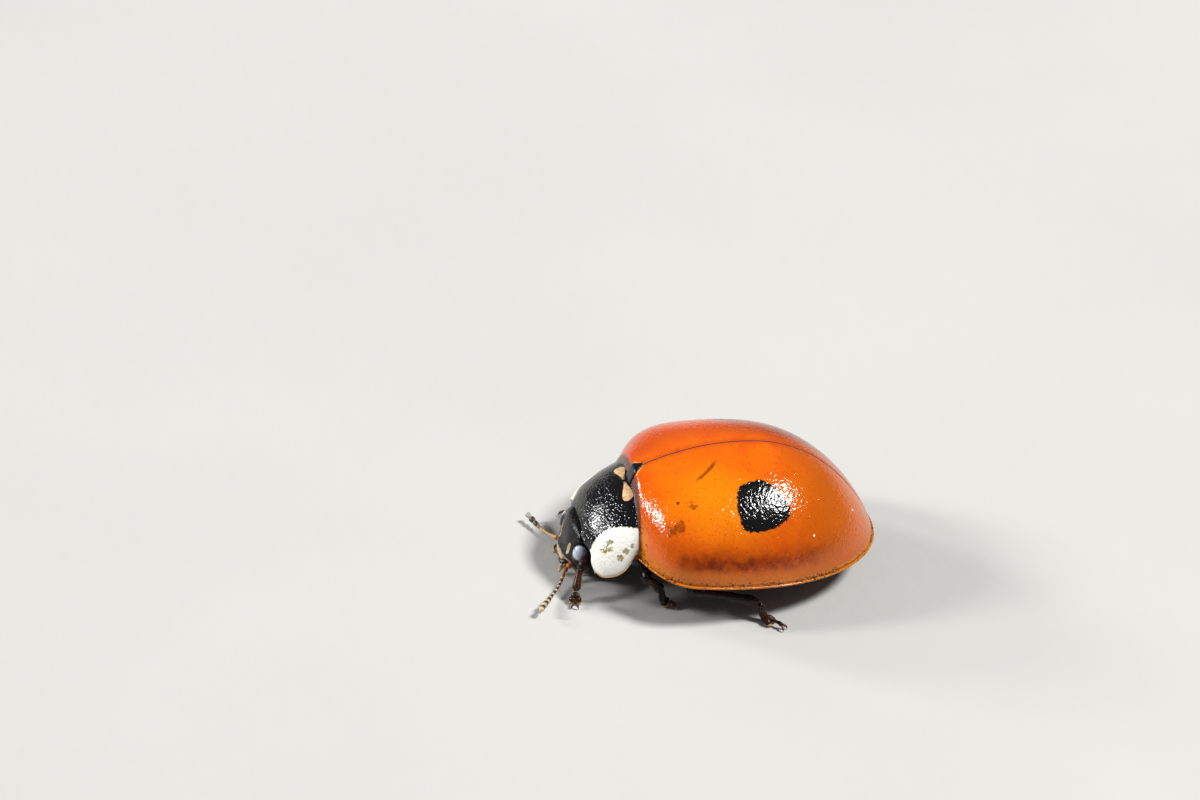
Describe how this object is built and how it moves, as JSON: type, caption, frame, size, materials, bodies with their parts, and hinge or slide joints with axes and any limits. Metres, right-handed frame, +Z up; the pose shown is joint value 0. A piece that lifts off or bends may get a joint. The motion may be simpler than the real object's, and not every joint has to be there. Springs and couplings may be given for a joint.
{
  "type": "ladybird",
  "caption": "Still life-size two-spot ladybird standing on six legs, glossy orange wing cases over a black body",
  "frame": {"origin": "middle of the part's bounding box seen from above, on the floor it stands on", "axes": "-Y towards the head, +X to the animal's left, +Z up"},
  "size_m": [0.0044, 0.0056, 0.0022],
  "materials": {
    "wing_case": "glossy orange chitin with fine punctures, one black spot on each wing case",
    "shield": "glossy black chitin with white side patches and two cream marks at the back edge",
    "body_shell": "glossy black chitin, finely punctured",
    "eye": "dark faceted eye with a blue-grey sheen",
    "mouth": "cream to brown mouthparts",
    "feeler": "orange-brown feeler with a dark club",
    "leg": "glossy black to dark brown leg with short pale hairs"
  },
  "bodies": {
    "root": {"elytron_left": "wing_case", "elytron_right": "wing_case", "scutellum": "body_shell", "pronotum": "shield", "head": "body_shell", "eye_left": "eye", "eye_right": "eye", "mouthparts": "mouth", "antenna_left": "feeler", "antenna_right": "feeler", "thorax": "body_shell", "abdomen": "body_shell", "femur_front_left": "leg", "tibia_front_left": "leg", "tarsus_front_left": "leg", "femur_mid_left": "leg", "tibia_mid_left": "leg", "tarsus_mid_left": "leg", "femur_hind_left": "leg", "tibia_hind_left": "leg", "tarsus_hind_left": "leg", "femur_front_right": "leg", "tibia_front_right": "leg", "tarsus_front_right": "leg", "femur_mid_right": "leg", "tibia_mid_right": "leg", "tarsus_mid_right": "leg", "femur_hind_right": "leg", "tibia_hind_right": "leg", "tarsus_hind_right": "leg"}
  },
  "joints": []
}
